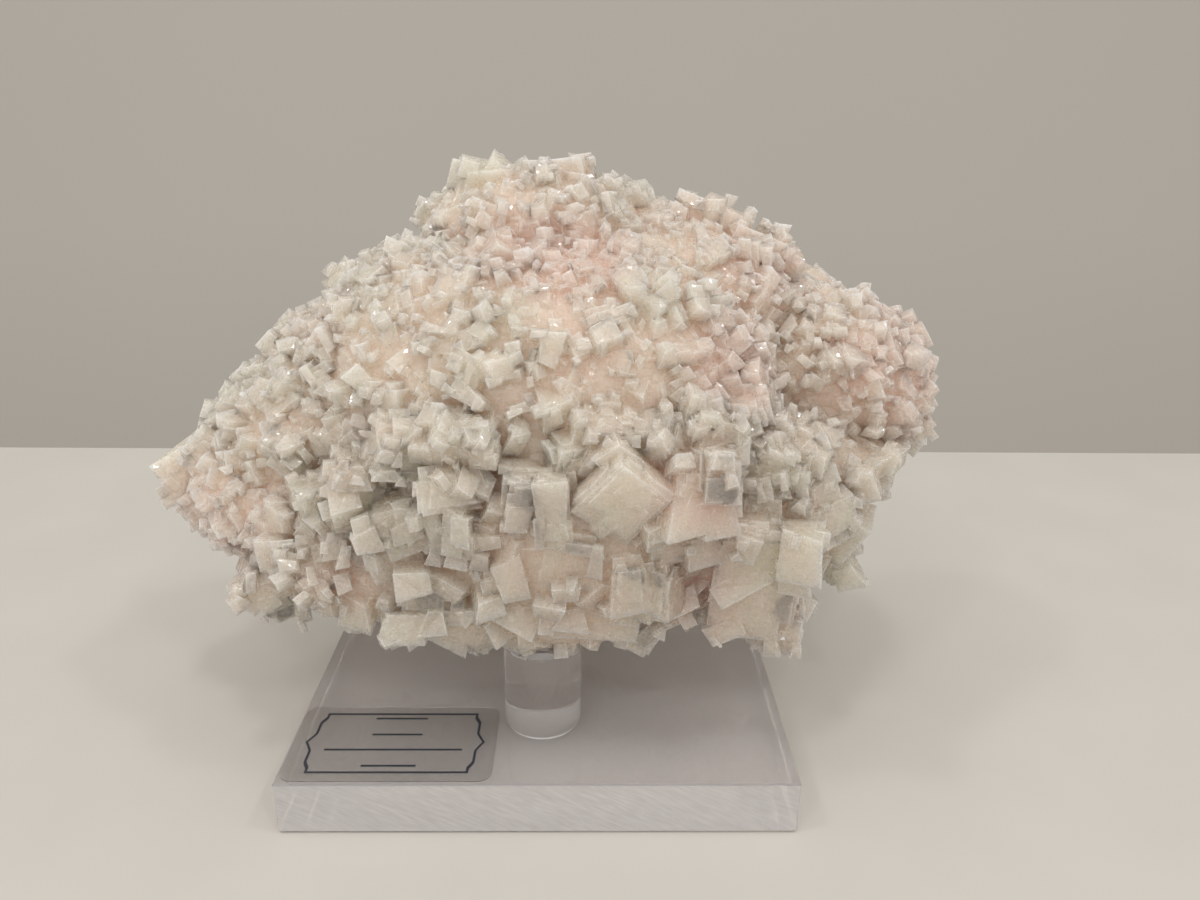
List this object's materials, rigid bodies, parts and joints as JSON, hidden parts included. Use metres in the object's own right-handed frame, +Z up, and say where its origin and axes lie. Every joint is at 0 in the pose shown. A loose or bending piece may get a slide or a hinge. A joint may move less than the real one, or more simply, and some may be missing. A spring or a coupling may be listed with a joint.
{
  "type": "halite crystal cluster on a display stand",
  "caption": "Pale pink cluster of intergrown cubic halite crystals, fixed on a short clear rod that stands on a square clear acrylic plate.",
  "frame": {"origin": "middle of the stand's underside", "axes": "+Z up, +Y away from the front edge of the stand where the label lies, +X to the right seen from the front"},
  "size_m": [0.1774, 0.1016, 0.1247],
  "materials": {
    "halite": "milky and translucent, frosted edges and glinting faces",
    "acrylic": "clear, polished faces with sawn edges",
    "adhesive": "clear and glossy",
    "label_film": "clear film with a thin dark printed border"
  },
  "bodies": {
    "root": {"halite_cluster": "halite", "base_plate": "acrylic", "post": "acrylic", "adhesive_bead": "adhesive", "label": "label_film"}
  },
  "joints": []
}
